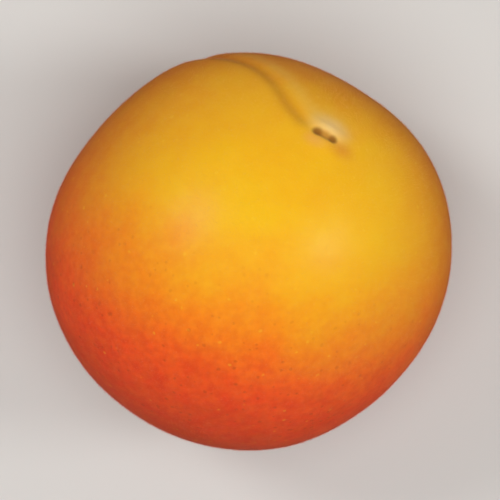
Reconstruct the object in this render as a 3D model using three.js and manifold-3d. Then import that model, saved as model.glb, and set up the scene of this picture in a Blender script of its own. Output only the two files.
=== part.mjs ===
import * as THREE from 'three';
import { mergeVertices } from 'three/addons/utils/BufferGeometryUtils.js';
import Module from 'manifold-3d';

// A fresh apricot, one solid, lying on its side on a small flat spot. Millimetres, +Z up.
//
// The skin is one closed surface around the middle of the fruit: a formula gives its distance from
// there in every direction. The fruit's own axes are: +Z to the apex, -Z to the stem end, and +X to
// the suture, the shallow groove that runs from the stem end to the apex. The last step tips these
// axes over, sets the fruit down and flattens the skin where it touches.

const { clamp, degToRad, inverseLerp, lerp, radToDeg, smoothstep } = THREE.MathUtils;

// Main proportions.
const THICKNESS = 47.0; // from the suture side to the back
const WIDTH = 48.1; // from cheek to cheek
const HEIGHT = 48.3; // from the stem end to the apex, before either end is shaped

// How the fruit lies, in degrees: its axis tips away from upright, points this way round +Z, and
// the suture is turned this far round the axis.
const APEX_TILT = 38;
const APEX_HEADING = 59;
const SUTURE_ROLL = 51;
const REST_DEPTH = 0.55; // how far the skin gives where the fruit lies

// Places where the skin is flatter than round: polar is measured from the apex and around from the
// suture, both in degrees; spread is the half width of the flat in degrees.
const SOFT_FLATS = [
  { polar: 52, around: -54, depth: 1.1, spread: 25 }, // beside the apex
  { polar: 103, around: -159, depth: 0.64, spread: 25 }, // on the back
  { polar: 81, around: 27, depth: 0.59, spread: 25 }, // beside the suture
];

// Low, broad unevenness of a grown fruit: wave counts over the unit sphere, and a phase.
const LUMP_HEIGHT = 0.14;
const LUMP_WAVES = [
  { x: 3.1, y: 1.7, z: 2.3, phase: 0.4 },
  { x: -2.2, y: 3.4, z: 1.9, phase: 2.1 },
  { x: 1.6, y: -2.4, z: 3.7, phase: 4.2 },
];

// The suture: shallow by the apex, deeper and wider towards the stem end. It runs a little to one
// side of the apex, sways slightly, and the cheek on that side stands higher all along it.
const SUTURE_DEPTH_AT_APEX = 0.24;
const SUTURE_DEPTH_AT_STEM = 1.5;
const SUTURE_HALF_WIDTH_AT_APEX = 0.9;
const SUTURE_HALF_WIDTH_AT_STEM = 2.4;
const SUTURE_DEEPENS = { from: 30, to: 150 }; // degrees from the apex
const SUTURE_DEEPENING = 1.5; // power of the way along: 1 deepens evenly, 2 mostly near the stem end
const SUTURE_ENDS = { from: 2, to: 8 }; // degrees from either end
const SUTURE_SIDE = { from: 0.02, to: 0.12 }; // x of a unit direction, so that it fades out at the ends
const SUTURE_OFFSET = 2.8; // degrees to the side at the apex, none at the stem end
const SUTURE_SWAY = 0.8; // degrees to either side
const SUTURE_SWAYS = 6; // waves in a full turn
const SUTURE_SWAY_START = 47; // degrees from the apex
const LIP_SHARE = 0.3; // swelling of both lips, as a share of the groove's depth
const LIP_SPREAD = 3.4; // reach of the lips, in half widths of the groove
const CHEEK_STEP = 0.22; // how much one cheek stands above the other
const CHEEK_STEP_RUN = 4; // millimetres over which the step rises
const CHEEK_STEP_REACH = 11; // millimetres until it has gone

// The stem cavity: a rounded shoulder, a funnel and the ring left by the stem at the bottom of it.
const CAVITY_DEPTH = 4.9;
const CAVITY_RADIUS = 4.9; // where the funnel is about a third as deep
const CAVITY_OVAL = 0.12; // how much wider it is from cheek to cheek
const SHOULDER_DROP = 0.8;
const SHOULDER_RADIUS = 12;
const STEM_RING_HEIGHT = 0.3;
const STEM_RING_RADIUS = 1.5;
const STEM_RING_WIDTH = 0.5;

// The apex: a low mound with the slit-shaped scar of the fallen style, a little off the axis.
const SCAR_PLACE = { x: 0.32, y: -1.38 };
const SCAR_TURN = 44; // degrees round the axis from the suture
const SCAR_DEPTH = 0.4;
const SCAR_HALF_LENGTH = 1.45;
const SCAR_HALF_WIDTH = 0.6;
const MOUND_HEIGHT = 0.38;
const MOUND_RADIUS = 2.3;

// The grid: squares along each edge of the box that is blown up into the fruit, and how much
// closer together they lie along the middle of its sides, where the suture and both ends are.
const GRID = 26;
const GRID_BUNCHING = 0.45;

const SKIN_COLOUR = '#f2a92b';
const SKIN_ROUGHNESS = 0.55;

// A bell-shaped bump of height 1 that has fallen to about a third at the given reach.
function bell(distance, reach) {
  return Math.exp(-((distance / reach) ** 2));
}

// A direction on the fruit: polar from the apex, around from the suture, both in degrees.
function directionAt(polar, around) {
  const [down, turn] = [degToRad(polar), degToRad(around)];
  const out = Math.sin(down);
  return new THREE.Vector3(out * Math.cos(turn), out * Math.sin(turn), Math.cos(down));
}

// The smooth, slightly uneven body of the fruit.
function bodyRadius(direction) {
  const { x, y, z } = direction;
  let radius = 0.5 / Math.hypot(x / THICKNESS, y / WIDTH, z / HEIGHT);
  for (const flat of SOFT_FLATS) {
    const fromMiddle = direction.angleTo(directionAt(flat.polar, flat.around));
    radius -= flat.depth * bell(fromMiddle, degToRad(flat.spread));
  }
  for (const wave of LUMP_WAVES) {
    radius += LUMP_HEIGHT * Math.sin(wave.x * x + wave.y * y + wave.z * z + wave.phase);
  }
  return radius;
}

// Where a direction is on the skin, in millimetres along it from the apex or the stem end: x is
// towards the suture and y towards the higher cheek. Either end lies on all sides of the other, so
// it gets the suture's side.
function placeFrom(end, direction, radius) {
  const atAnEnd = direction.x === 0 && direction.y === 0;
  const away = new THREE.Vector2(atAnEnd ? 1 : direction.x, direction.y);
  return away.setLength(radius * direction.angleTo(new THREE.Vector3(0, 0, end)));
}

const APEX = 1;
const STEM = -1;

// Height of the suture, its lips and the higher cheek above the body.
function sutureRelief(direction, radius) {
  const fromApex = radToDeg(direction.angleTo(new THREE.Vector3(0, 0, APEX)));
  const offset = (SUTURE_OFFSET * (1 + direction.z)) / 2;
  const sway = SUTURE_SWAY * Math.sin(SUTURE_SWAYS * degToRad(fromApex - SUTURE_SWAY_START));
  const across = radius * (Math.asin(direction.y) - degToRad(offset + sway));

  const run = clamp(inverseLerp(SUTURE_DEEPENS.from, SUTURE_DEEPENS.to, fromApex), 0, 1);
  const halfWidth = lerp(SUTURE_HALF_WIDTH_AT_APEX, SUTURE_HALF_WIDTH_AT_STEM, run);
  const atApex = smoothstep(fromApex, SUTURE_ENDS.from, SUTURE_ENDS.to);
  const atStem = smoothstep(180 - fromApex, SUTURE_ENDS.from, SUTURE_ENDS.to);
  const onSutureSide = smoothstep(direction.x, SUTURE_SIDE.from, SUTURE_SIDE.to);
  const fullDepth = lerp(SUTURE_DEPTH_AT_APEX, SUTURE_DEPTH_AT_STEM, run ** SUTURE_DEEPENING);
  const depth = fullDepth * onSutureSide * atApex * atStem;

  const groove = bell(across, halfWidth) - LIP_SHARE * bell(across, LIP_SPREAD * halfWidth);
  const step = CHEEK_STEP * Math.tanh(across / CHEEK_STEP_RUN) * bell(across, CHEEK_STEP_REACH);
  return step * onSutureSide * Math.sin(degToRad(fromApex)) - depth * groove;
}

// Height of the stem cavity, below the body all over it.
function stemRelief(direction, radius) {
  const place = placeFrom(STEM, direction, radius);
  const offAxis = Math.hypot(place.x, place.y / (1 + CAVITY_OVAL));
  const ring = STEM_RING_HEIGHT * bell(offAxis - STEM_RING_RADIUS, STEM_RING_WIDTH);
  const shoulder = SHOULDER_DROP * bell(offAxis, SHOULDER_RADIUS);
  return ring - shoulder - CAVITY_DEPTH * bell(offAxis, CAVITY_RADIUS);
}

// Height of the mound and the scar at the apex.
function apexRelief(direction, radius) {
  const place = placeFrom(APEX, direction, radius).sub(SCAR_PLACE);
  const mound = MOUND_HEIGHT * bell(place.length(), MOUND_RADIUS);
  place.rotateAround(new THREE.Vector2(), -degToRad(SCAR_TURN));
  return mound - SCAR_DEPTH * bell(Math.hypot(place.x / SCAR_HALF_LENGTH, place.y / SCAR_HALF_WIDTH), 1);
}

function skinRadius(direction) {
  const radius = bodyRadius(direction);
  return radius + sutureRelief(direction, radius) + stemRelief(direction, radius)
    + apexRelief(direction, radius);
}

// The whole skin on the fruit's own axes: a box's grid, bunched towards the middle lines of its
// sides, is turned into directions, and each point moves out to the skin.
function growSkin() {
  const box = new THREE.BoxGeometry(2, 2, 2, GRID, GRID, GRID);
  box.deleteAttribute('normal');
  box.deleteAttribute('uv');
  const skin = mergeVertices(box);
  const spread = (c) => Math.tan((c * (1 - GRID_BUNCHING + GRID_BUNCHING * c * c) * Math.PI) / 4);
  const points = skin.getAttribute('position');
  const direction = new THREE.Vector3();
  for (let i = 0; i < points.count; i += 1) {
    direction.set(spread(points.getX(i)), spread(points.getY(i)), spread(points.getZ(i))).normalize();
    direction.multiplyScalar(skinRadius(direction));
    points.setXYZ(i, direction.x, direction.y, direction.z);
  }
  return skin;
}

// The middle of the volume that a closed surface holds, from the cones between it and the origin.
function centreOfVolume(skin) {
  const points = skin.getAttribute('position');
  const corners = skin.getIndex();
  const [a, b, c] = [new THREE.Vector3(), new THREE.Vector3(), new THREE.Vector3()];
  const centre = new THREE.Vector3();
  let total = 0;
  for (let i = 0; i < corners.count; i += 3) {
    a.fromBufferAttribute(points, corners.getX(i));
    b.fromBufferAttribute(points, corners.getX(i + 1));
    c.fromBufferAttribute(points, corners.getX(i + 2));
    const cone = a.dot(b.clone().cross(c)) / 6;
    total += cone;
    centre.addScaledVector(a.add(b).add(c), cone / 4);
  }
  return centre.divideScalar(total);
}

// Tips the fruit over and sets it down: its weight is over the origin, and the skin that has to
// give under it is below the ground.
function setDown(skin) {
  skin.applyMatrix4(new THREE.Matrix4().makeRotationZ(degToRad(SUTURE_ROLL)));
  skin.applyMatrix4(new THREE.Matrix4().makeRotationY(degToRad(APEX_TILT)));
  skin.applyMatrix4(new THREE.Matrix4().makeRotationZ(degToRad(APEX_HEADING)));
  const centre = centreOfVolume(skin);
  skin.computeBoundingBox();
  skin.translate(-centre.x, -centre.y, -skin.boundingBox.min.z - REST_DEPTH);
}

const wasm = await Module();
wasm.setup();

function toSolid(geometry) {
  return new wasm.Manifold(new wasm.Mesh({
    numProp: 3,
    vertProperties: new Float32Array(geometry.getAttribute('position').array),
    triVerts: new Uint32Array(geometry.getIndex().array),
  }));
}

function toGeometry(solid) {
  const mesh = solid.getMesh();
  const geometry = new THREE.BufferGeometry();
  geometry.setAttribute('position', new THREE.BufferAttribute(mesh.vertProperties, mesh.numProp));
  geometry.setIndex(new THREE.BufferAttribute(mesh.triVerts, 1));
  geometry.computeVertexNormals();
  return geometry;
}

// Cuts away what is below the ground, which leaves the flat spot that the fruit rests on.
function flattenRestSpot(skin) {
  const side = 2 * Math.max(THICKNESS, WIDTH, HEIGHT);
  const ground = new THREE.BoxGeometry(side, side, side);
  ground.translate(0, 0, -side / 2);
  ground.deleteAttribute('normal');
  ground.deleteAttribute('uv');
  return toGeometry(toSolid(skin).subtract(toSolid(mergeVertices(ground))));
}

const skin = growSkin();
setDown(skin);

const apricot = new THREE.Mesh(
  flattenRestSpot(skin),
  new THREE.MeshStandardMaterial({ color: SKIN_COLOUR, roughness: SKIN_ROUGHNESS, metalness: 0 }),
);
apricot.name = 'apricot';

const fruit = new THREE.Group();
fruit.add(apricot);

export default fruit;
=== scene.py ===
# %% [markdown]
# # An apricot
# A ripe apricot lies on its side on a pale table. The real fruit is one grown piece: a skin with a
# shallow groove, the suture, a hollow where the stem sat and a scar where the flower's style fell.
# The looks come from two things, so they are the two halves of this lesson: one formula for the
# form of the skin, and one material for its colours, down and pores.
# The first cell loads the plain solid that the looks have to fit, and keeps its box.

# %% Load the fruit's solid
import math

import bpy
import numpy as np
from mathutils import Euler, Matrix, Vector, noise


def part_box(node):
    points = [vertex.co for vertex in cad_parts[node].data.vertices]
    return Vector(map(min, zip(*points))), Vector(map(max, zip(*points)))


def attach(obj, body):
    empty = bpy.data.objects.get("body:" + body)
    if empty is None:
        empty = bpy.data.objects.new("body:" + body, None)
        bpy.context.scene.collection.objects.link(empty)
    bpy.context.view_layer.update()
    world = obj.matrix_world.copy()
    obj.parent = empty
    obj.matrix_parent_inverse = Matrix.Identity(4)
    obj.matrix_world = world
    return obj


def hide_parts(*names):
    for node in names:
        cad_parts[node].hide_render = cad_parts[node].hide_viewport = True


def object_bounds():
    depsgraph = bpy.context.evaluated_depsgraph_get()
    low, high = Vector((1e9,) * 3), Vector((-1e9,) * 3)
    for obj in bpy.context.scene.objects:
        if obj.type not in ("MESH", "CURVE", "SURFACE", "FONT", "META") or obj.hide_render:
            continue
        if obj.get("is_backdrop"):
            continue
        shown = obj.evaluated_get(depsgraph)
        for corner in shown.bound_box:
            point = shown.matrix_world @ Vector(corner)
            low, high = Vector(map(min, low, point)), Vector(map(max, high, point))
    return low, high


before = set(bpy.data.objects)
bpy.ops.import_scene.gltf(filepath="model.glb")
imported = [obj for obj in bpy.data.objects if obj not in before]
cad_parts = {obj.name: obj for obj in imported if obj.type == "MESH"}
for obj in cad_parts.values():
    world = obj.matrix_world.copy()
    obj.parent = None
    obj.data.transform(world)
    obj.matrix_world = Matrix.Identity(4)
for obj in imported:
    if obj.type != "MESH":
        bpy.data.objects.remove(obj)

MM = 0.001
solid_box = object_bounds()
fruit_size = solid_box[1] - solid_box[0]
print("solid apricot, mm:", [round(side / MM, 1) for side in fruit_size])

# %% [markdown]
# ## The form of the fruit
# A sphere with a few dents would look like a ball, and a sculpted mesh can't be measured. A fruit
# is closer to a formula: seen from its middle, the skin lies at one distance in each direction. The
# fruit's own axes are +Z to the apex, -Z to the stem and +X to the suture. Its body is an ellipsoid
# that is a little flatter in three places, with very low, broad lumps, as growing fruits press on
# their neighbours and never come out round.

# %% The body
THICKNESS, WIDTH, HEIGHT = 47.0 * MM, 48.1 * MM, 48.3 * MM
SOFT_FLATS = (  # degrees from the apex, degrees round from the suture, depth
    (52, -54, 1.10 * MM),
    (103, -159, 0.64 * MM),
    (81, 27, 0.59 * MM),
)
FLAT_SPREAD = 25  # degrees
LUMP_HEIGHT = 0.14 * MM
LUMP_WAVES = ((3.1, 1.7, 2.3, 0.4), (-2.2, 3.4, 1.9, 2.1), (1.6, -2.4, 3.7, 4.2))


def bell(distance, reach):
    """1 in the middle, about a third at the reach, and soon nothing."""
    return np.exp(-((distance / reach) ** 2))


def step_up(low, high, value):
    """0 below low, 1 above high, and a smooth rise between them."""
    share = np.clip((value - low) / (high - low), 0, 1)
    return share * share * (3 - 2 * share)


def way_to(polar, around):
    """The direction at these degrees from the apex and round from the suture."""
    down, turn = math.radians(polar), math.radians(around)
    return np.array([math.sin(down) * math.cos(turn), math.sin(down) * math.sin(turn), math.cos(down)])


def angle_from(ways, polar, around):
    """How far each direction is from one place on the fruit, in radians."""
    return np.arccos(np.clip(ways @ way_to(polar, around), -1, 1))


def body_radius(ways):
    radius = 0.5 / np.linalg.norm(ways / (THICKNESS, WIDTH, HEIGHT), axis=1)
    for polar, around, depth in SOFT_FLATS:
        radius -= depth * bell(angle_from(ways, polar, around), math.radians(FLAT_SPREAD))
    for *wave, phase in LUMP_WAVES:
        radius += LUMP_HEIGHT * np.sin(ways @ wave + phase)
    return radius


# %% [markdown]
# ## The suture
# The suture is the seam along which the flower's ovary once closed. It is a mere crease by the apex
# and gets deeper and wider towards the stem, with both lips a little swollen. One cheek stands
# higher than the other. The same sums that lower the skin also say how far across the groove a
# point lies, which the material uses later, so colour and form can't slip apart.

# %% The suture's relief and place
SUTURE_DEPTH = (0.24 * MM, 1.5 * MM)  # by the apex, by the stem
SUTURE_HALF_WIDTH = (0.9 * MM, 2.4 * MM)
SUTURE_DEEPENS, SUTURE_DEEPENING = (30, 150), 1.5  # degrees from the apex, power of the way along
SUTURE_ENDS = (2, 8)  # degrees from either end
SUTURE_SIDE = (0.02, 0.12)  # x of a unit direction, so that it fades out at the ends
SUTURE_OFFSET = 2.8  # degrees to the side at the apex, none at the stem
SUTURE_HOOK, HOOK_REACH = 4.5, 10  # degrees back towards the scar at the apex, degrees from it
SUTURE_LEAN, LEAN_FROM_APEX, LEAN_REACH = -2.5, 25, 18  # degrees to the side, where, and how far
SUTURE_SWAY, SUTURE_SWAYS, SWAY_START = 0.8, 6, 47  # degrees, waves in a full turn, degrees
LIP_SHARE, LIP_SPREAD = 0.3, 3.4  # height in depths of the groove, reach in its half widths
CHEEK_STEP, CHEEK_STEP_RUN, CHEEK_STEP_REACH = 0.22 * MM, 4 * MM, 11 * MM  # rises over the run, then fades


def suture(ways, radius):
    """Height of the suture's relief, the place across it in half widths, and how much of it is there."""
    from_apex = np.degrees(np.arccos(np.clip(ways[:, 2], -1, 1)))
    offset = SUTURE_OFFSET * (1 + ways[:, 2]) / 2 - SUTURE_HOOK * bell(from_apex, HOOK_REACH)
    offset += SUTURE_LEAN * bell(from_apex - LEAN_FROM_APEX, LEAN_REACH)
    sway = SUTURE_SWAY * np.sin(SUTURE_SWAYS * np.radians(from_apex - SWAY_START))
    across = radius * (np.arcsin(np.clip(ways[:, 1], -1, 1)) - np.radians(offset + sway))
    low, high = SUTURE_DEEPENS
    run = np.clip((from_apex - low) / (high - low), 0, 1)
    half_width = np.interp(run, (0, 1), SUTURE_HALF_WIDTH)
    on_side = step_up(*SUTURE_SIDE, ways[:, 0])
    there = on_side * step_up(*SUTURE_ENDS, from_apex) * step_up(*SUTURE_ENDS, 180 - from_apex)
    depth = np.interp(run**SUTURE_DEEPENING, (0, 1), SUTURE_DEPTH) * there
    groove = bell(across, half_width)
    lips = LIP_SHARE * bell(across, LIP_SPREAD * half_width)
    cheek = CHEEK_STEP * np.tanh(across / CHEEK_STEP_RUN) * bell(across, CHEEK_STEP_REACH)
    cheek = cheek * on_side * np.sin(np.radians(from_apex))
    return cheek - depth * (groove - lips), across / half_width, there


shown_polars = (30, 90, 150)
shown_ways = np.array([way_to(polar, 0) for polar in shown_polars])
shown_rise = suture(shown_ways, body_radius(shown_ways))[0]
print("suture's relief", shown_polars, "degrees from the apex, mm:", (shown_rise / MM).round(2))

# %% [markdown]
# ## Both ends
# The stem sat in a funnel with a rounded shoulder, and left a small ring at the bottom, with the
# skin puckered round it. At the apex the skin rises to a low mound, with the slit-shaped scar of the
# style in it. The slit has a pit at each end and a dry, pale lip on one side.

# %% Stem cavity and apex
CAVITY_DEPTH, CAVITY_RADIUS, CAVITY_OVAL = 4.9 * MM, 4.9 * MM, 0.12  # wider one way by this share
SHOULDER_DROP, SHOULDER_RADIUS = 0.8 * MM, 12 * MM
STEM_RING_HEIGHT, STEM_RING_RADIUS, STEM_RING_WIDTH = 0.3 * MM, 1.5 * MM, 0.5 * MM
PUCKERS, PUCKER_SWAY, PUCKER_SWAYS = 13, 1.6, 3  # round the stem ring; radians, in a full turn
PUCKER_HEIGHT, PUCKER_RADIUS, PUCKER_REACH = 0.07 * MM, 3.0 * MM, 1.4 * MM
SCAR_PLACE, SCAR_TURN = (0.32 * MM, -1.38 * MM), 44  # along the skin from the apex, degrees
SCAR_DEPTH, SCAR_HALF_LENGTH, SCAR_HALF_WIDTH = 0.4 * MM, 1.45 * MM, 0.6 * MM
MOUND_HEIGHT, MOUND_RADIUS = 0.38 * MM, 2.3 * MM
PIT_APART, PIT_DEPTH, PIT_RADIUS = 1.0 * MM, 0.12 * MM, 0.5 * MM  # at both ends of the scar
DRY_LIP_ACROSS, DRY_LIP_HEIGHT = -1.25 * MM, 0.16 * MM  # on one side of the scar
DRY_LIP_HALF_LENGTH, DRY_LIP_HALF_WIDTH = 1.5 * SCAR_HALF_LENGTH, 0.75 * MM
APEX, STEM = 1, -1


def place_from(end, ways, radius):
    """Where each direction is on the skin, measured along it from the apex or the stem end."""
    x, y = ways[:, 0], ways[:, 1]
    x = np.where((x == 0) & (y == 0), 1, x)  # one end lies on all sides of the other
    along = radius * np.arccos(np.clip(end * ways[:, 2], -1, 1)) / np.hypot(x, y)
    return x * along, y * along


def stem_end(ways, radius):
    """Height of the stem cavity's relief, and the distance from its middle."""
    x, y = place_from(STEM, ways, radius)
    off_axis = np.hypot(x, y / (1 + CAVITY_OVAL))
    ring = STEM_RING_HEIGHT * bell(off_axis - STEM_RING_RADIUS, STEM_RING_WIDTH)
    shoulder = SHOULDER_DROP * bell(off_axis, SHOULDER_RADIUS)
    around = np.arctan2(y, x)
    puckers = np.sin(PUCKERS * around + PUCKER_SWAY * np.sin(PUCKER_SWAYS * around))
    puckers = PUCKER_HEIGHT * puckers * bell(off_axis - PUCKER_RADIUS, PUCKER_REACH)
    return ring + puckers - shoulder - CAVITY_DEPTH * bell(off_axis, CAVITY_RADIUS), off_axis


def apex_end(ways, radius):
    """Height of the apex's relief, and the place along and across the scar, from its middle."""
    x, y = place_from(APEX, ways, radius)
    x, y = x - SCAR_PLACE[0], y - SCAR_PLACE[1]
    turn = math.radians(SCAR_TURN)
    along, across = x * math.cos(turn) + y * math.sin(turn), y * math.cos(turn) - x * math.sin(turn)
    mound = bell(np.hypot(x, y), MOUND_RADIUS)
    scar = bell(np.hypot(along / SCAR_HALF_LENGTH, across / SCAR_HALF_WIDTH), 1)
    pits = bell(np.hypot(np.abs(along) - PIT_APART, across), PIT_RADIUS)
    from_lip = np.hypot(along / DRY_LIP_HALF_LENGTH, (across - DRY_LIP_ACROSS) / DRY_LIP_HALF_WIDTH)
    rise = MOUND_HEIGHT * mound - SCAR_DEPTH * scar - PIT_DEPTH * pits + DRY_LIP_HEIGHT * bell(from_lip, 1)
    return rise, along, across


shown_ways = np.array([way_to(180, 0)])
shown_rise = stem_end(shown_ways, body_radius(shown_ways))[0]
print("middle of the stem cavity, mm:", (shown_rise / MM).round(2))

# %% [markdown]
# ## The skin as a mesh
# A globe's grid crowds its points at the poles and wastes them. Here a box's grid is blown up into
# the fruit instead, so its squares stay nearly square, and they are bunched towards the middle
# lines of the box's sides, because the suture and both ends lie there.

# %% Directions of all the grid's points
GRID = 126  # squares along each side of the box
GRID_BUNCHING = 0.45  # 0 is evenly spread
MAP_MARGIN = 0.01  # of a side's width on the flat map


def box_grid(squares):
    """Corners of a box's surface grid as whole numbers, its squares as four corners each, and where
    each square's corners lie on a flat map of the box's six sides."""
    steps = np.arange(squares + 1)
    across, up = (side.ravel() for side in np.meshgrid(steps, steps, indexing="ij"))
    at = np.arange((squares + 1) ** 2).reshape(squares + 1, squares + 1)
    quad = np.stack([at[:-1, :-1], at[1:, :-1], at[1:, 1:], at[:-1, 1:]], -1).reshape(-1, 4)
    on_side = MAP_MARGIN + (1 - 2 * MAP_MARGIN) * np.stack([across, up], -1) / squares
    corners, faces, flat = [], [], []
    for axis in range(3):
        for end in (0, squares):
            side = np.empty((len(across), 3), int)
            side[:, axis], side[:, (axis + 1) % 3], side[:, (axis + 2) % 3] = end, across, up
            wound = quad if end else quad[:, ::-1]
            faces.append(wound + len(corners) * len(across))
            flat.append((on_side[wound] + (axis, end > 0)) / (3, 2))
            corners.append(side)
    welded, same = np.unique(np.concatenate(corners), axis=0, return_inverse=True)
    return welded, same.ravel()[np.concatenate(faces)], np.concatenate(flat)


grid_corners, skin_faces, skin_map = box_grid(GRID)
even = 2 * grid_corners / GRID - 1
bunched = np.tan(even * (1 - GRID_BUNCHING + GRID_BUNCHING * even**2) * math.pi / 4)
ways = bunched / np.linalg.norm(bunched, axis=1)[:, None]
print("skin:", len(ways), "points,", 2 * len(skin_faces), "triangles")

# %% [markdown]
# ## Out to the skin, and down onto the table
# Each point moves out by the formula. Close up, ripe skin also has faint dimples a few millimetres
# apart, which catch the light, so a fine noise lifts it by a few hundredths of a millimetre. Then
# the fruit is tipped over and lowered until the skin has to give under it. A hard cut would leave a
# sharp edge there, and a soft limit turns the skin gently into its flat spot.

# %% Relief, turn and rest
DIMPLE_SIZE, DIMPLE_HEIGHT = 2.6 * MM, 0.022 * MM
SWELL_SIZE, SWELL_HEIGHT = 8 * MM, 0.06 * MM
CORK_SIZE, CORK_HEIGHT, CORK_RADIUS = 0.6 * MM, 0.16 * MM, 1.7 * MM
APEX_TILT, APEX_HEADING, SUTURE_ROLL = 38, 59, 51  # degrees
REST_DEPTH, REST_SOFTNESS = 0.55 * MM, 0.3 * MM  # how far the skin gives, and how softly


def noise_at(places, size):
    """A soft noise from -1 to 1 with lumps of this size."""
    return np.array([noise.noise(Vector(place) / size) for place in places])


def roughen(places, off_axis):
    """A few hundredths of a millimetre of swells and dimples, and the stem scar's rough cork."""
    rises = SWELL_HEIGHT * noise_at(places, SWELL_SIZE) + DIMPLE_HEIGHT * noise_at(places, DIMPLE_SIZE)
    cork = CORK_HEIGHT * noise_at(places, CORK_SIZE)
    return rises + cork * step_up(CORK_RADIUS + CORK_SIZE, CORK_RADIUS, off_axis)


body = body_radius(ways)
suture_rise, suture_across, suture_there = suture(ways, body)
stem_rise, off_axis = stem_end(ways, body)
apex_rise, scar_along, scar_across = apex_end(ways, body)
radius = body + suture_rise + stem_rise + apex_rise + roughen(ways * body[:, None], off_axis)

turn = Euler([math.radians(a) for a in (0, APEX_TILT, APEX_HEADING)]).to_matrix()
turn = np.array(turn @ Matrix.Rotation(math.radians(SUTURE_ROLL), 3, "Z"))
skin_places = (ways * radius[:, None]) @ turn.T


def centre_of_volume(places, faces):
    """The middle of the volume that a closed surface holds, and that volume."""
    middle, total = 0, 0
    for second, third in ((1, 2), (2, 3)):
        a, b, c = (places[faces[:, i]] for i in (0, second, third))
        cones = np.einsum("ij,ij->i", a, np.cross(b, c)) / 6
        middle = middle + ((a + b + c) * cones[:, None] / 4).sum(0)
        total += cones.sum()
    return middle / total, total


middle, volume = centre_of_volume(skin_places, skin_faces)
fruit_middle = np.array([-middle[0], -middle[1], -skin_places[:, 2].min() - REST_DEPTH])
skin_places += fruit_middle
above_table = skin_places[:, 2]
soft = (above_table + REST_SOFTNESS) ** 2 / (4 * REST_SOFTNESS)
free = np.where(above_table > REST_SOFTNESS, above_table, soft)
skin_places[:, 2] = np.where(above_table < -REST_SOFTNESS, 0, free)
print("volume, cubic cm:", round(volume * 1e6, 1))
print("middle of the fruit, mm:", (fruit_middle / MM).round(2))

# %% [markdown]
# The mesh keeps what the sums know about each point: its direction on the fruit's own axes, and its
# place across the suture, from the stem cavity's middle and from the style scar's. They are stored
# as attributes, which the material reads, and so every colour sits exactly on its form.

# %% The skin's mesh and its attributes
FARTHEST_ACROSS = 9  # half widths from the suture, beyond which nothing depends on it


def mesh_object(name, places, faces):
    mesh = bpy.data.meshes.new(name)
    mesh.from_pydata(places.tolist(), [], faces.tolist())
    mesh.shade_smooth()
    made = bpy.data.objects.new(name, mesh)
    bpy.context.collection.objects.link(made)
    return made


def keep(mesh, name, values):
    """Stores a number or a vector for each point of the mesh."""
    kind, field = ("FLOAT", "value") if values.ndim == 1 else ("FLOAT_VECTOR", "vector")
    mesh.attributes.new(name, kind, "POINT").data.foreach_set(field, values.astype(np.float32).ravel())


def lay_flat(mesh, corners):
    """Gives the mesh a flat map without overlaps, for anyone who bakes its colours to an image."""
    mesh.uv_layers.new(name="OFBake").data.foreach_set("uv", corners.astype(np.float32).ravel())


skin = mesh_object("apricot_skin", skin_places, skin_faces)
lay_flat(skin.data, skin_map)
keep(skin.data, "way", ways)
keep(skin.data, "suture_across", np.clip(suture_across, -FARTHEST_ACROSS, FARTHEST_ACROSS))
keep(skin.data, "suture_there", suture_there)
keep(skin.data, "off_axis", off_axis / MM)
keep(skin.data, "scar_place", np.column_stack([scar_along, scar_across, 0 * scar_along]) / MM)
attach(skin, "root")
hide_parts("apricot")

node_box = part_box("apricot")
skin_box = (skin_places.min(0), skin_places.max(0))
for end, corner, solid_corner in zip(("lowest", "highest"), skin_box, node_box):
    print(end, "corner, mm:", (corner / MM).round(2), " solid:", [round(c / MM, 2) for c in solid_corner])

# %% [markdown]
# ## Helpers for materials
# Every material here is a tree of nodes, and wiring each by hand makes long, dull code. Small helpers
# keep the lines readable instead: they add a node and feed its inputs, do sums, multiply masks, and
# lay a colour over another through a mask. Two more make a node group and place it, so that an effect
# is built once and used wherever it is needed.

# %% Node helpers


def paint(code):
    """A colour written as on a paint card, as the light values that a shader wants."""
    parts = [int(code[i : i + 2], 16) / 255 for i in (1, 3, 5)]
    return [*((c / 12.92 if c <= 0.04045 else ((c + 0.055) / 1.055) ** 2.4) for c in parts), 1]


def add_node(tree, kind, feeds=None, **settings):
    """A new node with its settings. Feeds are plain values, or other nodes' outputs to link."""
    made = tree.nodes.new("ShaderNode" + kind)
    for setting, value in settings.items():
        setattr(made, setting, value)
    for socket, value in (feeds or {}).items():
        if isinstance(value, bpy.types.NodeSocket):
            tree.links.new(value, made.inputs[socket])
        else:
            made.inputs[socket].default_value = value
    return made


def sums(tree, operation, *values):
    """Any sum of masks and numbers that the Math node can do."""
    return add_node(tree, "Math", dict(enumerate(values)), operation=operation).outputs[0]


def times(tree, first, *others):
    """Masks and numbers multiplied with each other."""
    for other in others:
        first = sums(tree, "MULTIPLY", first, other)
    return first


def vector_sums(tree, operation, *values, output=0, **named):
    """Any sum of vectors. The SCALE operation takes its number by name."""
    feeds = dict(enumerate(values)) | named
    return add_node(tree, "VectorMath", feeds, operation=operation).outputs[output]


def ramp(tree, value, low, high, at_low=0.0, at_high=1.0):
    """A smooth change from at_low to at_high while value goes from low to high."""
    feeds = {"Value": value, "From Min": low, "From Max": high, "To Min": at_low, "To Max": at_high}
    return add_node(tree, "MapRange", feeds, interpolation_type="SMOOTHSTEP").outputs["Result"]


def lay_over(tree, mask, under, over):
    """The under colour with the over colour laid on it as thickly as the mask says."""
    return add_node(tree, "Mix", {0: mask, 6: under, 7: over}, data_type="RGBA").outputs[2]


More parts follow.
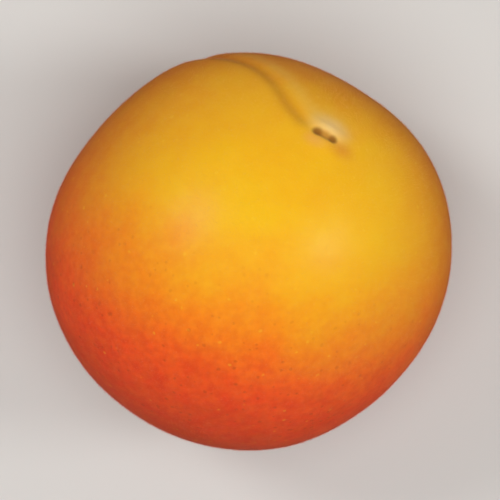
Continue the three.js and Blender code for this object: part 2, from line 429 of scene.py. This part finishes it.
def node_group(name, inputs, outputs):
    """An empty node group: its sockets are {name: value} in and {name: kind} out."""
    group = bpy.data.node_groups.new(name, "ShaderNodeTree")
    for socket, value in inputs.items():
        kind = "NodeSocketFloat" if isinstance(value, (int, float)) else "NodeSocketVector"
        group.interface.new_socket(socket, in_out="INPUT", socket_type=kind).default_value = value
    for socket, kind in outputs.items():
        group.interface.new_socket(socket, in_out="OUTPUT", socket_type="NodeSocket" + kind)
    print("node group", name, "takes", ", ".join(inputs), "and gives", ", ".join(outputs))
    return group, group.nodes.new("NodeGroupInput").outputs, group.nodes.new("NodeGroupOutput").inputs


def fineness(group, size):
    """The scale that gives a noise lumps of this size."""
    return sums(group, "DIVIDE", 1, size)


def use(tree, group, **feeds):
    """A node group in a tree, fed by name, with underscores for the spaces in the sockets' names."""
    feeds = {socket.replace("_", " "): value for socket, value in feeds.items()}
    return add_node(tree, "Group", feeds, node_tree=group).outputs


# %% [markdown]
# ## Effects as node groups
# The colours of a fruit come in soft patches: the side that hung in the sun blushed red, and the
# rest stayed yellow and orange. Patches paint shade too: the yellow stays round the side that faces
# up, and the deeper orange of the rims around it is partly painted shade. Painting them by hand
# needs a texture image, and gradients along X, Y or Z look mechanical. This group makes a patch
# around any direction on the fruit, with an edge that noise makes ragged, and the skin uses it
# several times over.

# %% A soft patch around one direction


def make_patch():
    sockets = {"Way": (0.0, 0.0, 1.0), "Middle": (0.0, 0.0, 1.0), "Reach": 40.0, "Softness": 20.0}
    sockets |= {"Raggedness": 10.0, "Grain Size": 8 * MM}
    group, feeds, out = node_group("soft patch", sockets, {"Mask": "Float"})
    where = add_node(group, "TexCoord").outputs["Object"]
    scale = fineness(group, feeds["Grain Size"])
    cloud = add_node(group, "TexNoise", {"Vector": where, "Scale": scale, "Detail": 3.0}).outputs[0]
    shift = times(group, sums(group, "SUBTRACT", cloud, 0.5), feeds["Raggedness"])
    near = vector_sums(group, "DOT_PRODUCT", feeds["Way"], feeds["Middle"], output="Value")
    angle = sums(group, "DEGREES", sums(group, "ARCCOSINE", near))
    edge = sums(group, "SUBTRACT", sums(group, "ADD", angle, shift), feeds["Reach"])
    inside, outer = times(group, edge, -1), times(group, feeds["Softness"], -1)
    group.links.new(ramp(group, inside, outer, feeds["Softness"]), out["Mask"])
    return group


soft_patch = make_patch()

# %% [markdown]
# Ripe skin is sprinkled with lenticels, tiny breathing pores that show as pale dots on yellow and
# dark ones on red. Cells of a Voronoi pattern hold one dot each. A random number for each cell
# leaves some out and a little noise bends the rest, or they would look printed.

# %% Freckles
BEND_FINENESS, BEND_STRENGTH = 2.5, 0.35  # of a cell
DOT_EDGE = 0.12  # of a cell


def make_freckles():
    sockets = {"Spacing": 1.5 * MM, "Size": 0.2, "Share": 0.5}
    group, feeds, out = node_group("freckles", sockets, {"Mask": "Float"})
    where = add_node(group, "TexCoord").outputs["Object"]
    scale = fineness(group, feeds["Spacing"])
    bend_scale = times(group, scale, BEND_FINENESS)
    bend = add_node(group, "TexNoise", {"Vector": where, "Scale": bend_scale}).outputs["Color"]
    shove = vector_sums(group, "SUBTRACT", bend, (0.5, 0.5, 0.5))
    shove = vector_sums(group, "SCALE", shove, Scale=BEND_STRENGTH)
    bent = vector_sums(group, "ADD", vector_sums(group, "SCALE", where, Scale=scale), shove)
    cells = add_node(group, "TexVoronoi", {"Vector": bent, "Scale": 1.0})
    lot = add_node(group, "SeparateColor", {0: cells.outputs["Color"]})
    size = times(group, feeds["Size"], sums(group, "ADD", lot.outputs[1], 0.5))
    dot = ramp(group, sums(group, "SUBTRACT", size, cells.outputs["Distance"]), 0.0, DOT_EDGE)
    chosen = sums(group, "LESS_THAN", lot.outputs[0], feeds["Share"])
    group.links.new(times(group, dot, chosen), out["Mask"])
    return group


freckles = make_freckles()

# %% [markdown]
# The wax on the skin is cloudy, and so are its gloss and its red flecks. Fractal noise is the plain
# choice for clouds. Its contrast is an input, because flecks have sharper edges than clouds.

# %% Mottling


def make_mottle():
    group, feeds, out = node_group("mottle", {"Size": 3 * MM, "Contrast": 0.3}, {"Mask": "Float"})
    where = add_node(group, "TexCoord").outputs["Object"]
    scale = fineness(group, feeds["Size"])
    cloud = add_node(group, "TexNoise", {"Vector": where, "Scale": scale, "Detail": 4.0}).outputs[0]
    low, high = (sums(group, sign, 0.5, feeds["Contrast"]) for sign in ("SUBTRACT", "ADD"))
    group.links.new(ramp(group, cloud, low, high), out["Mask"])
    return group


mottle = make_mottle()

# %% [markdown]
# Round the stem the colours run in rays, because the skin was stretched there while the fruit
# swelled. A noise becomes rays when it is looked up by the direction round the stem alone, and only
# a little by the distance from it.

# %% Rays round the stem
RAY_DRIFT = 0.35  # how much a ray changes for each millimetre outwards


def make_rays():
    sockets = {"Way": (0.0, 0.0, 1.0), "Off Axis": 0.0, "Fineness": 4.0}
    group, feeds, out = node_group("rays", sockets, {"Value": "Float"})
    level = vector_sums(group, "MULTIPLY", feeds["Way"], (1, 1, 0))
    heading = vector_sums(group, "SCALE", vector_sums(group, "NORMALIZE", level), Scale=feeds["Fineness"])
    drift = add_node(group, "CombineXYZ", {2: times(group, feeds["Off Axis"], RAY_DRIFT)}).outputs[0]
    look_up = vector_sums(group, "ADD", heading, drift)
    cloud = add_node(group, "TexNoise", {"Vector": look_up, "Scale": 1.0, "Detail": 3.0}).outputs[0]
    group.links.new(cloud, out["Value"])
    return group


rays = make_rays()

# %% [markdown]
# ## How the fruit ripened
# The colours go on as they come on the tree: first the yellow ground with orange clouds in it, then
# the deeper orange of the flanks, which is partly painted shade at the rims round the yellow side that
# faces up, then the red blush of the side that hung in the sun, with its own streaks. It is a group
# too, because both the skin and the down on it take their colour from here.

# %% Colours by direction
YELLOW, ORANGE = paint("#F2BA12"), paint("#EFA012")
FLANK_AND_PAINTED_RIM_SHADE, BLUSH, DEEP_BLUSH = paint("#DC6A0A"), paint("#FA461A"), paint("#C62A14")
GROUND_CLOUDS, ORANGE_STRENGTH = {"Size": 9 * MM, "Contrast": 0.25}, 0.45
# Middles are degrees from the apex and round from the suture. Reach and the next two are degrees too.
# The yellow stays round the side that faces up. Outside it the flank colour deepens the rims: partly their
# own orange, partly painted shade where they turn away from the light.
YELLOW_TOP_AND_PAINTED_RIM_SHADE = {"Middle": tuple(way_to(31, 134)), "Reach": 57, "Softness": 33, "Raggedness": 22}
SUNNY_SIDE = {"Middle": tuple(way_to(143, 146))}
BLUSH_EDGE, BLUSH_STRENGTH = {"Reach": 88.5, "Softness": 33, "Raggedness": 34}, 0.95
DEEP_EDGE = {"Reach": 58, "Softness": 30, "Raggedness": 60, "Grain Size": 5 * MM}
DEEP_STRENGTH = 0.5


def make_ripening():
    sockets = {"Way": (0.0, 0.0, 1.0)}
    group, feeds, out = node_group("ripening", sockets, {"Color": "Color", "Blush": "Float"})
    way = feeds["Way"]
    orange = times(group, use(group, mottle, **GROUND_CLOUDS)["Mask"], ORANGE_STRENGTH)
    ground = lay_over(group, orange, YELLOW, ORANGE)
    # deeper orange towards the rims: the flanks' own colour and painted shade
    colour = lay_over(group, use(group, soft_patch, Way=way, **YELLOW_TOP_AND_PAINTED_RIM_SHADE)["Mask"], FLANK_AND_PAINTED_RIM_SHADE, ground)
    glow, deep = (
        use(group, soft_patch, Way=way, **SUNNY_SIDE, **edge)["Mask"] for edge in (BLUSH_EDGE, DEEP_EDGE)
    )
    colour = lay_over(group, times(group, glow, BLUSH_STRENGTH), colour, BLUSH)
    colour = lay_over(group, times(group, deep, DEEP_STRENGTH), colour, DEEP_BLUSH)
    group.links.new(colour, out["Color"])
    group.links.new(glow, out["Blush"])
    return group


ripening = make_ripening()

# %% [markdown]
# ## The skin's material
# The ripe colours alone would look airbrushed. Close up there are pale clouds in the wax, red flecks
# and freckles, more of them where the sun shone. Each is a group with its own values, laid over the
# colours below it as thinly as on the fruit.

# %% Clouds, flecks and dots
PALE_DOT, RED_DOT = paint("#F8C836"), paint("#B23A16")
CLOUD_SIZE, CLOUDS_ON_YELLOW, CLOUDS_ON_BLUSH = 1.6 * MM, 0.15, 0.07
FLECKS, FLECK_STRENGTH = {"Size": 0.9 * MM, "Contrast": 0.2}, 0.3
PALE_DOTS, PALE_DOT_STRENGTH = {"Spacing": 1.3 * MM, "Size": 0.16, "Share": 0.6}, 0.3
SMALL_RED_DOTS, SMALL_DOT_STRENGTH = {"Spacing": 0.9 * MM, "Size": 0.22, "Share": 0.45}, 0.42
BIG_RED_DOTS, BIG_DOT_STRENGTH = {"Spacing": 2.6 * MM, "Size": 0.13, "Share": 0.5}, 0.3

material = bpy.data.materials.new("apricot_skin")
material.use_nodes = True
tree = material.node_tree
skin_shader = tree.nodes["Principled BSDF"]
way = add_node(tree, "Attribute", attribute_name="way").outputs["Vector"]

ripe = use(tree, ripening, Way=way)
cloud_strength = ramp(tree, ripe["Blush"], 0.0, 1.0, CLOUDS_ON_YELLOW, CLOUDS_ON_BLUSH)
clouds = times(tree, use(tree, mottle, Size=CLOUD_SIZE)["Mask"], cloud_strength)
colour = lay_over(tree, clouds, ripe["Color"], PALE_DOT)
flecks = times(tree, use(tree, mottle, **FLECKS)["Mask"], ripe["Blush"], FLECK_STRENGTH)
colour = lay_over(tree, flecks, colour, DEEP_BLUSH)
pale_dots = use(tree, freckles, **PALE_DOTS)["Mask"]
colour = lay_over(tree, times(tree, pale_dots, PALE_DOT_STRENGTH), colour, PALE_DOT)
for dots, strength in ((SMALL_RED_DOTS, SMALL_DOT_STRENGTH), (BIG_RED_DOTS, BIG_DOT_STRENGTH)):
    red_dots = times(tree, use(tree, freckles, **dots)["Mask"], ripe["Blush"], strength)
    colour = lay_over(tree, red_dots, colour, RED_DOT)
print("ripe colours with clouds and dots:", len(tree.nodes), "nodes")

# %% [markdown]
# Next come the places that the attributes mark. Along the suture runs a thin brown line on one wall
# of the groove: the seam's own colour, and painted shade where that wall turns away from the light.
# Near the apex the other lip has a pale band, which is a painted highlight. A painted line would have
# to be placed by hand, while the attribute across the groove puts it there by itself.

# %% Colours of the suture
SUTURE_BROWN_AND_SHADE, SUTURE_GLINT = paint("#B86A04"), paint("#F8CA58")
LINE_ACROSS, LINE_REACH, LINE_STRENGTH = 0.4, 2.0, 0.32  # half widths towards the higher cheek
CREST_ACROSS, CREST_REACH, CREST_STRENGTH = -2.2, 1.9, 0.27
CREST_FROM_STEM = (45.0, 62.0)  # millimetres along the skin: no painted highlight up to here, full from here

across_suture, on_suture, from_stem = (
    add_node(tree, "Attribute", attribute_name=name).outputs["Fac"]
    for name in ("suture_across", "suture_there", "off_axis")
)


def stripe(across, reach):
    """A soft stripe along the suture, this many half widths across it."""
    off = sums(tree, "ABSOLUTE", sums(tree, "SUBTRACT", across_suture, across))
    return times(tree, ramp(tree, off, reach, 0.0), on_suture)


# brown line on the groove's wall: partly the seam's colour, partly painted shade
line_and_shade = times(tree, stripe(LINE_ACROSS, LINE_REACH), LINE_STRENGTH)
colour = lay_over(tree, line_and_shade, colour, SUTURE_BROWN_AND_SHADE)
# painted highlight on the other lip, fading in towards the apex
glint_near_apex = ramp(tree, from_stem, *CREST_FROM_STEM)
crest_glint = times(tree, stripe(CREST_ACROSS, CREST_REACH), glint_near_apex, CREST_STRENGTH)
colour = lay_over(tree, crest_glint, colour, SUTURE_GLINT)
print("with the suture:", len(tree.nodes), "nodes")

# %% [markdown]
# The stem cavity never saw the sun, so it stays a greenish yellow, which runs out into the red in
# rays. Finer brown rays reach in to the cork where the stalk broke off. Each patch is a ramp over the
# distance from the stem's middle, which the rays push in and out.

# %% Colours of the stem cavity
CAVITY_GREEN, RAY_BROWN = paint("#D6AE3A"), paint("#A8702A")
CORK_RIM, CORK, PALE_CORK = paint("#5E4022"), paint("#86602F"), paint("#BFA06A")
BROAD_RAYS, FINE_RAYS = 2.2, 5.0  # fineness
# A patch fades from nothing to full between two distances from the stem's middle, in millimetres. Its
# push is how many millimetres the whole swing of the rays moves its edge.
GREEN_FADES, GREEN_PUSH, GREEN_STRENGTH = (9.5, 2.0), 9.0, 0.62
THREAD_FADES, THREAD_LEVELS, THREAD_STRENGTH = (4.6, 1.8), (0.5, 0.68), 0.5
RIM_FADES, RIM_PUSH = (2.35, 1.75), 0.9
CORK_FADES, CORK_PUSH = (1.9, 1.1), 1.2
CRUMBS, CRUMB_STRENGTH = {"Size": 0.3 * MM, "Contrast": 0.2}, 0.7

broad_rays, fine_rays = (
    use(tree, rays, Way=way, Off_Axis=from_stem, Fineness=fine)["Value"] for fine in (BROAD_RAYS, FINE_RAYS)
)


def round_stem(fades, rays_value, push):
    """A patch round the stem that fades between two distances, pushed in and out by some rays."""
    centred = sums(tree, "SUBTRACT", rays_value, 0.5)
    return ramp(tree, sums(tree, "MULTIPLY_ADD", centred, push, from_stem), *fades)


green = times(tree, round_stem(GREEN_FADES, broad_rays, GREEN_PUSH), GREEN_STRENGTH)
colour = lay_over(tree, green, colour, CAVITY_GREEN)
threads = times(tree, ramp(tree, fine_rays, *THREAD_LEVELS), ramp(tree, from_stem, *THREAD_FADES))
colour = lay_over(tree, times(tree, threads, THREAD_STRENGTH), colour, RAY_BROWN)
stem_scar = round_stem(RIM_FADES, fine_rays, RIM_PUSH)
colour = lay_over(tree, stem_scar, colour, CORK_RIM)
cork = round_stem(CORK_FADES, fine_rays, CORK_PUSH)
colour = lay_over(tree, cork, colour, CORK)
crumbs = times(tree, use(tree, mottle, **CRUMBS)["Mask"], cork, CRUMB_STRENGTH)
colour = lay_over(tree, crumbs, colour, PALE_CORK)
print("with the stem cavity:", len(tree.nodes), "nodes")

# %% [markdown]
# Round the scar of the style the skin dried: there is a pale lip, a pale spot round it and a touch of
# russet, and the slit and its pits are brown. All of them are soft ovals beside the scar, so one
# helper makes them from their places and half sizes.

# %% Colours of the style's scar
DRY_HALO, DRY_LIP, RUSSET, TAN = paint("#E8B84A"), paint("#F4CC84"), paint("#DA862C"), paint("#E8A650")
SLIT, PIT = paint("#C48A34"), paint("#9A6420")
DRY_SPOTS = (  # place along and across the scar, half length and half width in mm, strength, colour
    ((-2.4, 0.6), (2.6, 2.0), 0.6, RUSSET),
    ((0, -1.9), (4.6, 3.9), 0.7, DRY_HALO),
    ((0.9, 1.3), (2.2, 1.5), 0.6, TAN),
    ((-0.2, -1.5), (3.5, 2.6), 0.8, DRY_LIP),
)
SLIT_HALF_SIZE = (2.1, 1.0)
PIT_SPOTS = (((1.0, 0), (1.2, 1.1)), ((-1.0, 0), (1.0, 1.0)))  # place and half size of each
SLIT_LEVELS, PIT_LEVELS = (0.0, 0.9), (0.1, 0.9)  # of a spot: no brown, full brown

scar_place = add_node(tree, "Attribute", attribute_name="scar_place").outputs["Vector"]


def spot(place, half_size):
    """A soft oval spot, placed along and across the style's scar, in millimetres from its middle."""
    off = vector_sums(tree, "SUBTRACT", scar_place, (*place, 0))
    off = vector_sums(tree, "DIVIDE", off, (*half_size, 1))
    return ramp(tree, vector_sums(tree, "LENGTH", off, output="Value"), 1.0, 0.0)


for place, half_size, strength, tint in DRY_SPOTS:
    dry_spot = spot(place, half_size)
    colour = lay_over(tree, times(tree, dry_spot, strength), colour, tint)
pale_lip = dry_spot  # the last of them, which is dull as well
slit = spot((0, 0), SLIT_HALF_SIZE)
colour = lay_over(tree, ramp(tree, slit, *SLIT_LEVELS), colour, SLIT)
pits = sums(tree, "MAXIMUM", *(spot(*pit) for pit in PIT_SPOTS))
colour = lay_over(tree, ramp(tree, pits, *PIT_LEVELS), colour, PIT)
tree.links.new(colour, skin_shader.inputs["Base Color"])
print("with the style's scar:", len(tree.nodes), "nodes")

# %% [markdown]
# Colour alone looks like paint. Ripe skin is satin: waxy enough for broad, soft highlights, rougher
# where it mottles, and dull and dry in the scars. A thin coat stands for the wax on top. Fine down
# scatters light at its edges, which the sheen does, and a little light goes into the flesh and comes
# out again close by, which the subsurface does.

# %% Gloss, grain and glow of the skin
SATIN, DULL, DRY = 0.42, 0.55, 0.85
GLOSS_CLOUDS = {"Size": 9 * MM, "Contrast": 0.25}
GRAIN_SIZE, GRAIN_DEPTH, GRAIN_STRENGTH = 0.35 * MM, 0.03 * MM, 0.6
DOT_RISE = 0.5  # of the grain's depth

gloss = ramp(tree, use(tree, mottle, **GLOSS_CLOUDS)["Mask"], 0.0, 1.0, SATIN, DULL)
dry = sums(tree, "MAXIMUM", stem_scar, sums(tree, "MAXIMUM", slit, pale_lip))
gloss = ramp(tree, dry, 0.0, 1.0, gloss, DRY)
tree.links.new(gloss, skin_shader.inputs["Roughness"])

where = add_node(tree, "TexCoord").outputs["Object"]
grain = add_node(tree, "TexNoise", {"Vector": where, "Scale": 1 / GRAIN_SIZE, "Detail": 3.0}).outputs[0]
height = sums(tree, "ADD", grain, times(tree, pale_dots, DOT_RISE))
relief = add_node(tree, "Bump", {"Height": height, "Distance": GRAIN_DEPTH, "Strength": GRAIN_STRENGTH})
tree.links.new(relief.outputs[0], skin_shader.inputs["Normal"])

for socket, value in {
    "IOR": 1.38,
    "Specular IOR Level": 0.2,
    "Specular Tint": paint("#FFEBCB"),
    "Coat Weight": 0.4,
    "Coat Roughness": 0.38,
    "Sheen Weight": 0.03,
    "Sheen Roughness": 0.35,
    "Sheen Tint": paint("#F5D9B0"),
    "Subsurface Weight": 0.12,
    "Subsurface Radius": (1.0, 0.35, 0.12),
    "Subsurface Scale": 2.5 * MM,
}.items():
    skin_shader.inputs[socket].default_value = value
skin.data.materials.append(material)
print("skin material:", len(tree.nodes), "nodes")

# %% [markdown]
# ## The down
# An apricot is covered in short, fine hairs, which blur its outline and catch the light there. They
# grow evenly over the skin, but not in the scars, and here not where the fruit touches the table
# either. Roots drawn by the mesh's points would crowd where the grid is bunched, so each square gets
# its share by area.

# %% Where hairs grow
BARE_BELOW = 0.7 * MM  # height over the table

skin_normals = np.empty(len(skin_places) * 3, np.float32)
skin.data.vertex_normals.foreach_get("vector", skin_normals)
skin_normals = skin_normals.reshape(-1, 3).astype(float)
corner = skin_places[skin_faces]
diagonals = corner[:, 2] - corner[:, 0], corner[:, 3] - corner[:, 1]
square_areas = np.linalg.norm(np.cross(*diagonals), axis=1) / 2
square_bare = corner[:, :, 2].min(1) < BARE_BELOW
square_bare |= np.hypot(scar_along, scar_across)[skin_faces].min(1) < SCAR_HALF_LENGTH
square_bare |= off_axis[skin_faces].min(1) < STEM_RING_RADIUS
hair_share = np.where(square_bare, 0, square_areas)
print("skin with down, square cm:", round(hair_share.sum() * 1e4, 1))

# %% [markdown]
# Hair curves would be lost when the fruit is shared as a mesh, so each hair is a real, closed spike of
# four faces, rooted under the skin. It leans at random, a little more towards the apex. The draws are
# seeded, so that every run grows the same down.

# %% One piece of down
HAIR_LENGTH = (0.14 * MM, 0.36 * MM)  # shortest, longest
HAIR_RADIUS, HAIR_ROOT = 0.006 * MM, 0.02 * MM
HAIR_LEAN, HAIR_DRIFT = 0.8, 0.35  # sideways for each step outwards: at random, towards the apex
SPIKE = np.array([(0, 1, 3), (1, 2, 3), (2, 0, 3), (2, 1, 0)])  # three sides, foot
SPIKE_MAP = np.array([(0.1, 0.1), (0.9, 0.1), (0.5, 0.5), (0.5, 0.9)])  # its corners on the flat map
apex_way = turn[:, 2]
draw = np.random.default_rng(11)


def unit(vectors):
    return vectors / np.linalg.norm(vectors, axis=1)[:, None]


def grow_down(name, count):
    """One piece of down: closed spikes on the skin, drawn at random but always alike."""
    squares = draw.choice(len(skin_faces), count, p=hair_share / hair_share.sum())
    u, v = draw.random((2, count, 1))
    weights = np.concatenate([(1 - u) * (1 - v), u * (1 - v), u * v, (1 - u) * v], axis=1)[:, :, None]
    roots, out, root_ways = (
        (held[skin_faces[squares]] * weights).sum(1) for held in (skin_places, skin_normals, ways)
    )
    out = unit(out)
    lean = HAIR_LEAN * draw.normal(size=(count, 3)) + HAIR_DRIFT * apex_way
    along = unit(out + lean - out * np.einsum("ij,ij->i", lean, out)[:, None])
    length = draw.uniform(*HAIR_LENGTH, (count, 1))
    side = unit(np.cross(along, draw.normal(size=(count, 3))))
    other = np.cross(along, side)
    foot = roots - along * HAIR_ROOT
    third = 2 * math.pi / 3
    ring = [
        foot + HAIR_RADIUS * (side * math.cos(third * i) + other * math.sin(third * i)) for i in range(3)
    ]
    places = np.stack([*ring, roots + along * length], axis=1).reshape(-1, 3)
    faces = (np.arange(count)[:, None, None] * 4 + SPIKE).reshape(-1, 3)
    grown = mesh_object(name, places, faces)
    keep(grown.data, "way", np.repeat(root_ways, 4, axis=0))
    columns = math.ceil(math.sqrt(count))
    cell = np.stack(np.divmod(np.arange(count), columns), -1)[:, None, None]
    lay_flat(grown.data, (cell + SPIKE_MAP[SPIKE]) / columns)
    return grown


# %% [markdown]
# A hair is nearly clear and lets the skin's own colour through, so its material asks the same group
# for the colour of the place where it grows, and only pales it. White hairs would turn the fruit
# grey, and brown ones would make it look dirty.

# %% The down's material and its pieces
HAIRS_PER_PIECE, DOWN_PIECES = 48000, 3
HAIR_PALE, HAIR_PALENESS = paint("#F6E3C2"), 0.28
HAIR_ROUGHNESS, HAIR_GLOSS = 0.6, 0.25

down_material = bpy.data.materials.new("apricot_down")
down_material.use_nodes = True
down_tree = down_material.node_tree
down_shader = down_tree.nodes["Principled BSDF"]
down_way = add_node(down_tree, "Attribute", attribute_name="way").outputs["Vector"]
skin_colour = use(down_tree, ripening, Way=down_way)["Color"]
hair_colour = lay_over(down_tree, HAIR_PALENESS, skin_colour, HAIR_PALE)
down_tree.links.new(hair_colour, down_shader.inputs["Base Color"])
down_shader.inputs["Roughness"].default_value = HAIR_ROUGHNESS
down_shader.inputs["Specular IOR Level"].default_value = HAIR_GLOSS
for number in range(DOWN_PIECES):
    down = grow_down(f"down_{number + 1}", HAIRS_PER_PIECE)
    down.data.materials.append(down_material)
    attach(down, "root")
    print(down.name, len(down.data.polygons), "triangles")

# %% [markdown]
# ## The table and the studio
# A plain plane would end in a horizon behind the fruit. Studios use a sheet of pale card that curves
# up at the back instead. This one curves up all round, like a wide dish, because the fruit is looked
# at from every side.

# %% The card
CARD_FLAT, CARD_CURVE, CARD_WALL = 2.6, 1.0, 0.1  # metres: flat middle, radius of the bend, upright
CARD_SIDES, BEND_STEPS = 96, 12
CARD_HUB = 0.02  # metres, radius of the one flat face in the middle
CARD_COLOUR, CARD_ROUGHNESS = paint("#CECCC8"), 0.8
CARD_DROP = 0.02 * MM  # keeps the card's face from lying in the same plane as the flat spot

bend = np.linspace(0, math.pi / 2, BEND_STEPS)
profile = [(CARD_HUB, 0.0)]
profile += [(CARD_FLAT + CARD_CURVE * math.sin(b), CARD_CURVE * (1 - math.cos(b))) for b in bend]
profile.append((CARD_FLAT + CARD_CURVE, CARD_CURVE + CARD_WALL))
rounds = np.linspace(0, 2 * math.pi, CARD_SIDES, endpoint=False)
card_places = [(r * math.cos(a), r * math.sin(a), z - CARD_DROP) for r, z in profile for a in rounds]
ring = np.arange(CARD_SIDES)
after = (ring + 1) % CARD_SIDES
card_faces = [
    (inner + i, inner + CARD_SIDES + i, inner + CARD_SIDES + j, inner + j)
    for inner in range(0, (len(profile) - 1) * CARD_SIDES, CARD_SIDES)
    for i, j in zip(ring, after)
]
card_mesh = bpy.data.meshes.new("card")
card_faces = [tuple(int(c) for c in face) for face in card_faces] + [tuple(range(CARD_SIDES))]
card_mesh.from_pydata(card_places, [], card_faces)
card_mesh.shade_smooth()
card = bpy.data.objects.new("card", card_mesh)
bpy.context.collection.objects.link(card)
card_material = bpy.data.materials.new("pale_card")
card_material.use_nodes = True
card_shader = card_material.node_tree.nodes["Principled BSDF"]
card_shader.inputs["Base Color"].default_value = CARD_COLOUR
card_shader.inputs["Roughness"].default_value = CARD_ROUGHNESS
card.data.materials.append(card_material)
card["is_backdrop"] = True
print("card:", len(card_faces), "faces,", round(2 * (CARD_FLAT + CARD_CURVE), 1), "m across")

# %% [markdown]
# Soft light comes from large lamps. A very wide one hangs over the fruit and lights it evenly, and
# two smaller ones, like windows to the left and the right, leave a soft highlight each. The world's
# own pale light fills what they leave. Pale surroundings also lay a grey gloss over the skin's
# colours, which a polarising filter on a real lens takes away. Here the card, the wide lamp and the
# world are left out of the gloss instead.

# %% Lamps and world
AIM = Vector((0, 0, fruit_middle[2]))
WIDE_LAMP, WINDOW_LAMP, LAMP_DISTANCE = 4.8, 1.6, 6.0  # metres
WORLD_STRENGTH = 0.2


def soft_lamp(name, around, above, watts, width):
    """A round lamp aimed at the fruit, this far round from +X and above the table, in degrees."""
    turn, rise = math.radians(around), math.radians(above)
    towards = Vector((math.cos(turn) * math.cos(rise), math.sin(turn) * math.cos(rise), math.sin(rise)))
    lamp = bpy.data.lights.new(name, "AREA")
    lamp.shape, lamp.size, lamp.energy = "DISK", width, watts
    held = bpy.data.objects.new(name, lamp)
    held.location = AIM + towards * LAMP_DISTANCE
    held.rotation_euler = towards.to_track_quat("Z", "Y").to_euler()
    held.visible_camera = False
    bpy.context.collection.objects.link(held)
    print(name, watts, "W,", width, "m wide")
    return held


top_lamp = soft_lamp("top_lamp", around=-80, above=80, watts=232, width=WIDE_LAMP)
soft_lamp("right_lamp", around=-3, above=45, watts=76, width=WINDOW_LAMP)
soft_lamp("left_lamp", around=149, above=52, watts=78, width=WINDOW_LAMP)

world = bpy.data.worlds.new("studio")
world.use_nodes = True
sky = world.node_tree.nodes["Background"]
sky.inputs["Color"].default_value = (1, 1, 1, 1)
sky.inputs["Strength"].default_value = WORLD_STRENGTH
bpy.context.scene.world = world

card.visible_glossy = False
top_lamp.visible_glossy = False
world.cycles_visibility.glossy = False

# %% [markdown]
# ## The camera
# It looks straight down from well above, through a long lens, so the fruit's outline is nearly the
# true one.

# %% Camera
LENS, SENSOR = 400, 36  # millimetres
FRAME_WIDTH = 59.3 * MM  # of the view, at the height of the fruit's middle
VIEW_MIDDLE = (0.1 * MM, 0.1 * MM)  # x and y that the lens points at

camera = bpy.data.objects.new("camera", bpy.data.cameras.new("camera"))
camera.data.lens, camera.data.sensor_width = LENS, SENSOR
camera.location = (*VIEW_MIDDLE, fruit_middle[2] + FRAME_WIDTH * LENS / SENSOR)
camera.data.clip_end = 10  # metres, past the card's far wall
bpy.context.collection.objects.link(camera)
bpy.context.scene.camera = camera
bpy.context.scene.view_settings.view_transform = "Standard"
print("camera height, m:", round(camera.location.z, 3))

# %% [markdown]
# ## Last sizes
# The dressed fruit has to stay inside the solid's box, so both boxes are taken, and the dressed one's size
# is printed.

# %% Sizes and finish
dressed_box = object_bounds()
boxes = {"solid": solid_box, "dressed": dressed_box}
boxes = {name: [list(corner) for corner in box] for name, box in boxes.items()}
print("dressed apricot, mm:", [round(side / MM, 2) for side in dressed_box[1] - dressed_box[0]])
